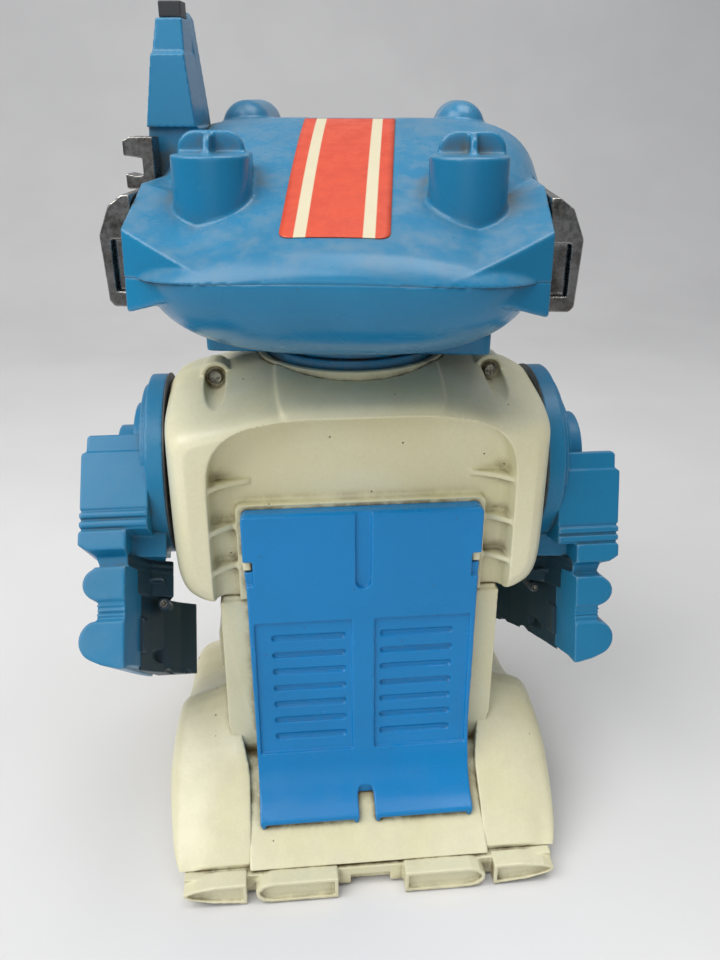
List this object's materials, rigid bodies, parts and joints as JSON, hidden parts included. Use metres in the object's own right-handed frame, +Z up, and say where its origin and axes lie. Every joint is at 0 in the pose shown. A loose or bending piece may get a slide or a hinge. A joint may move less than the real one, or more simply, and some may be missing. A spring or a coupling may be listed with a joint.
{
  "type": "humanoid toy robot",
  "caption": "Wheeled toy robot with a flattened helmet head, side ears and tower, boxy torso, swinging arms with pincer hands, a vented rear battery cover and a flared wheel base.",
  "frame": {"origin": "on the ground under the middle of the torso, on the robot's middle plane", "axes": "+Z up; the robot faces -Y, so +Y is its back with the battery cover; +X is its left"},
  "size_m": [0.2566, 0.2115, 0.3947],
  "materials": {
    "cream_plastic": "aged cream ABS, satin",
    "blue_plastic": "blue ABS, worn satin gloss",
    "cover_plastic": "brighter blue ABS, satin",
    "black_plastic": "black ABS",
    "chromed_plastic": "worn dark chrome plating on plastic",
    "steel": "dull plated steel",
    "sticker": "printed orange-red paper sticker with pale stripes",
    "visor_plastic": "dark red smoked plastic",
    "lens_plastic": "clear yellow lens",
    "board": "green circuit board",
    "cell_jacket": "printed battery jacket, no marks",
    "tyre_rubber": "black rubber",
    "gear_plastic": "moulded nylon"
  },
  "bodies": {
    "chassis": {"torso_rear_shell": "cream_plastic", "torso_front_shell": "cream_plastic", "neck_collar": "cream_plastic", "shell_screw_left": "steel", "shell_screw_right": "steel", "shoulder_washer_left": "black_plastic", "shoulder_washer_right": "black_plastic", "lower_body": "cream_plastic", "battery_tray": "black_plastic", "cell_0_0": "cell_jacket", "cell_0_1": "cell_jacket", "cell_1_0": "cell_jacket", "cell_1_1": "cell_jacket", "base_deck": "cream_plastic", "fender_left": "cream_plastic", "fender_right": "cream_plastic", "base_tub": "cream_plastic", "drive_motor": "steel", "circuit_board": "board", "speaker": "black_plastic", "chest_panel": "blue_plastic"},
    "head": {"head_upper_shell": "blue_plastic", "head_lower_shell": "blue_plastic", "jaw_plate": "blue_plastic", "neck_ring": "blue_plastic", "head_sticker": "sticker", "ear_left": "chromed_plastic", "ear_right": "chromed_plastic", "tower_tip": "black_plastic", "tower": "blue_plastic", "ear_clip": "chromed_plastic", "visor": "visor_plastic", "eye_left": "lens_plastic", "eye_right": "lens_plastic"},
    "battery_cover": {"battery_cover": "cover_plastic"},
    "power_switch": {"power_switch": "black_plastic"},
    "front_wheels": {"front_axle": "steel", "wheel_front_left": "tyre_rubber", "wheel_front_right": "tyre_rubber"},
    "rear_wheels": {"rear_axle": "steel", "wheel_rear_left": "tyre_rubber", "wheel_rear_right": "tyre_rubber", "drive_gear": "gear_plastic"},
    "motor_pinion": {"motor_pinion": "steel"},
    "arm_left": {"shoulder_hub_left": "blue_plastic", "arm_shell_left": "blue_plastic", "hand_plate_left": "black_plastic", "claw_pin_left": "steel"},
    "claw_upper_left": {"claw_upper_left": "black_plastic"},
    "claw_lower_left": {"claw_lower_left": "black_plastic"},
    "arm_right": {"shoulder_hub_right": "blue_plastic", "arm_shell_right": "blue_plastic", "hand_plate_right": "black_plastic", "claw_pin_right": "steel"},
    "claw_upper_right": {"claw_upper_right": "black_plastic"},
    "claw_lower_right": {"claw_lower_right": "black_plastic"}
  },
  "joints": [
    {"name": "head_turn", "type": "hinge", "parent": "chassis", "child": "head", "pos_m": [0, -0.005, 0.24], "axis": [0, 0, 1], "range_deg": [-81.8, 98.2]},
    {"name": "cover_pull", "type": "slide", "parent": "chassis", "child": "battery_cover", "axis": [0, 1, 0], "range_m": [0, 0.12]},
    {"name": "switch_slide", "type": "slide", "parent": "chassis", "child": "power_switch", "axis": [1, 0, 0], "range_m": [-0.005, 0.005]},
    {"name": "front_axle_spin", "type": "hinge", "parent": "chassis", "child": "front_wheels", "pos_m": [0, -0.045, 0.017], "axis": [1, 0, 0], "continuous": true},
    {"name": "rear_axle_spin", "type": "hinge", "parent": "chassis", "child": "rear_wheels", "pos_m": [0, 0.055, 0.017], "axis": [1, 0, 0], "continuous": true},
    {"name": "motor_spin", "type": "hinge", "parent": "chassis", "child": "motor_pinion", "pos_m": [0, 0.0389, 0.017], "axis": [1, 0, 0], "continuous": true},
    {"name": "shoulder_left_swing", "type": "hinge", "parent": "chassis", "child": "arm_left", "pos_m": [0, 0.0011, 0.1888], "axis": [1, 0, 0], "range_deg": [-149.6, 5.4]},
    {"name": "claw_upper_left_open", "type": "hinge", "parent": "arm_left", "child": "claw_upper_left", "pos_m": [0.116, 0.01704, 0.09816], "axis": [1, 0, 0], "range_deg": [-35, 0]},
    {"name": "claw_lower_left_open", "type": "hinge", "parent": "arm_left", "child": "claw_lower_left", "pos_m": [0.116, 0.01704, 0.09816], "axis": [1, 0, 0], "range_deg": [0, 35]},
    {"name": "shoulder_right_swing", "type": "hinge", "parent": "chassis", "child": "arm_right", "pos_m": [0, 0.0011, 0.1888], "axis": [1, 0, 0], "range_deg": [-124.2, 30.8]},
    {"name": "claw_upper_right_open", "type": "hinge", "parent": "arm_right", "child": "claw_upper_right", "pos_m": [-0.116, -0.02338, 0.10008], "axis": [1, 0, 0], "range_deg": [-35, 0]},
    {"name": "claw_lower_right_open", "type": "hinge", "parent": "arm_right", "child": "claw_lower_right", "pos_m": [-0.116, -0.02338, 0.10008], "axis": [1, 0, 0], "range_deg": [0, 35]}
  ],
  "couplings": [
    {"joint": "motor_spin", "follows": "rear_axle_spin", "ratio": -2.5},
    {"joint": "claw_lower_left_open", "follows": "claw_upper_left_open", "ratio": -1},
    {"joint": "claw_lower_right_open", "follows": "claw_upper_right_open", "ratio": -1}
  ]
}
